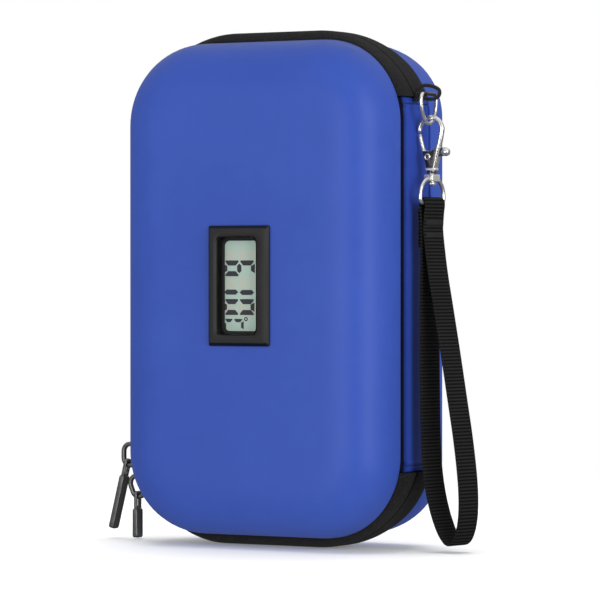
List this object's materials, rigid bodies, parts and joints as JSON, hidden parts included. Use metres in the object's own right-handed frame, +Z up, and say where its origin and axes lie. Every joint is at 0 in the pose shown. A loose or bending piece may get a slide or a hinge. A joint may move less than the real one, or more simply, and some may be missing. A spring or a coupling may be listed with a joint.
{
  "type": "insulin cooling case",
  "caption": "Zipped hard-shell travel case with a folding spine, snap-in thermometer, foil-lined inside with gel packs and pen loops, and a wrist strap on a lobster clasp.",
  "frame": {"origin": "middle of the flat bottom of the zip band, on the surface that the closed case stands on", "axes": "+Z up along the long side, +X towards the folding spine and the wrist strap, +Y towards the back, so the thermometer faces -Y"},
  "size_m": [0.1721, 0.0719, 0.2078],
  "materials": {
    "shell_blue": "satin",
    "spine_blue": "satin",
    "zip_tape": "matte",
    "zip_coil": "satin",
    "gunmetal": "satin",
    "bezel_black": "satin",
    "clear_window": "gloss",
    "lcd_glass": "gloss",
    "zebra_rubber": "matte",
    "board_green": "satin",
    "cell_steel": "satin",
    "contact_brass": "satin",
    "foil_foam": "satin",
    "gel_film": "gloss",
    "mesh_black": "matte",
    "panel_fabric": "matte",
    "elastic_black": "matte",
    "nickel": "polished",
    "webbing_black": "matte"
  },
  "bodies": {
    "rear": {"rear_shell": "shell_blue", "rear_liner": "foil_foam", "rear_zip_tape": "zip_tape", "rear_zip_coil": "zip_coil", "gel_pack_rear": "gel_film", "pen_panel": "panel_fabric", "pen_band_lower": "elastic_black", "pen_band_upper": "elastic_black"},
    "spine": {"spine_panel": "spine_blue", "cord_loop": "elastic_black"},
    "front": {"front_shell": "shell_blue", "front_liner": "foil_foam", "front_zip_tape": "zip_tape", "front_zip_coil": "zip_coil", "gel_pack_front": "gel_film", "mesh_pocket": "mesh_black", "display_bezel": "bezel_black", "display_housing": "bezel_black", "display_lens": "clear_window", "lcd_panel": "lcd_glass", "zebra_strip_left": "zebra_rubber", "zebra_strip_right": "zebra_rubber", "circuit_board": "board_green", "battery_a": "cell_steel", "battery_b": "cell_steel", "battery_contact": "contact_brass", "temperature_sensor": "cell_steel"},
    "battery_door": {"battery_door": "bezel_black"},
    "upper_slider": {"upper_zip_slider": "gunmetal"},
    "upper_pull": {"upper_zip_pull": "gunmetal"},
    "lower_slider": {"lower_zip_slider": "gunmetal"},
    "lower_pull": {"lower_zip_pull": "gunmetal"},
    "ring": {"d_ring": "nickel"},
    "clasp": {"clasp_body": "nickel", "clasp_rivet": "nickel", "clasp_spring": "cell_steel"},
    "gate": {"clasp_gate": "nickel"},
    "swivel": {"swivel_eye": "nickel"},
    "strap": {"wrist_strap": "webbing_black"}
  },
  "joints": [
    {"name": "spine_front_fold", "type": "hinge", "parent": "spine", "child": "front", "pos_m": [0.061, -0.012, 0.104], "axis": [0, 0, 1], "range_deg": [0, 90]},
    {"name": "spine_rear_fold", "type": "hinge", "parent": "rear", "child": "spine", "pos_m": [0.061, 0.012, 0.104], "axis": [0, 0, 1], "range_deg": [0, 90]},
    {"name": "upper_slider_run", "type": "slide", "parent": "rear", "child": "upper_slider", "axis": [0, 0, 1], "range_m": [0, 0.12]},
    {"name": "lower_slider_run", "type": "hinge", "parent": "rear", "child": "lower_slider", "pos_m": [-0.0244, -0.002, 0.041], "axis": [0, -1, 0], "range_deg": [0, 60]},
    {"name": "upper_pull_swing", "type": "hinge", "parent": "upper_slider", "child": "upper_pull", "pos_m": [-0.07575, -0.002, 0.03235], "axis": [0, 1, 0], "range_deg": [0, 80]},
    {"name": "lower_pull_swing", "type": "hinge", "parent": "lower_slider", "child": "lower_pull", "pos_m": [-0.0709, -0.002, 0.01909], "axis": [0, 1, 0], "range_deg": [-15, 20]},
    {"name": "battery_door_slide", "type": "slide", "parent": "front", "child": "battery_door", "axis": [0, 0, 1], "range_m": [0, 0.012]},
    {"name": "ring_swing", "type": "hinge", "parent": "spine", "child": "ring", "pos_m": [0.0667, 0, 0.18135], "axis": [0, -1, 0], "range_deg": [0, 85]},
    {"name": "clasp_swing", "type": "hinge", "parent": "ring", "child": "clasp", "pos_m": [0.0667, 0, 0.16955], "axis": [0, -1, 0], "range_deg": [0, 60]},
    {"name": "gate_press", "type": "hinge", "parent": "clasp", "child": "gate", "pos_m": [0.0674, 0, 0.1563], "axis": [0, 1, 0], "range_deg": [0, 25], "stiffness_Nm_per_rad": 0.02, "springref_deg": -17.19},
    {"name": "swivel_turn", "type": "hinge", "parent": "clasp", "child": "swivel", "pos_m": [0.0682, 0, 0.148], "axis": [0, 0, 1], "range_deg": [-20, 39]},
    {"name": "strap_swing", "type": "hinge", "parent": "swivel", "child": "strap", "pos_m": [0.0682, 0, 0.1382], "axis": [-0.165, -0.9863, 0], "range_deg": [0, 45]}
  ],
  "couplings": [
    {"joint": "spine_rear_fold", "follows": "spine_front_fold", "ratio": 1}
  ]
}
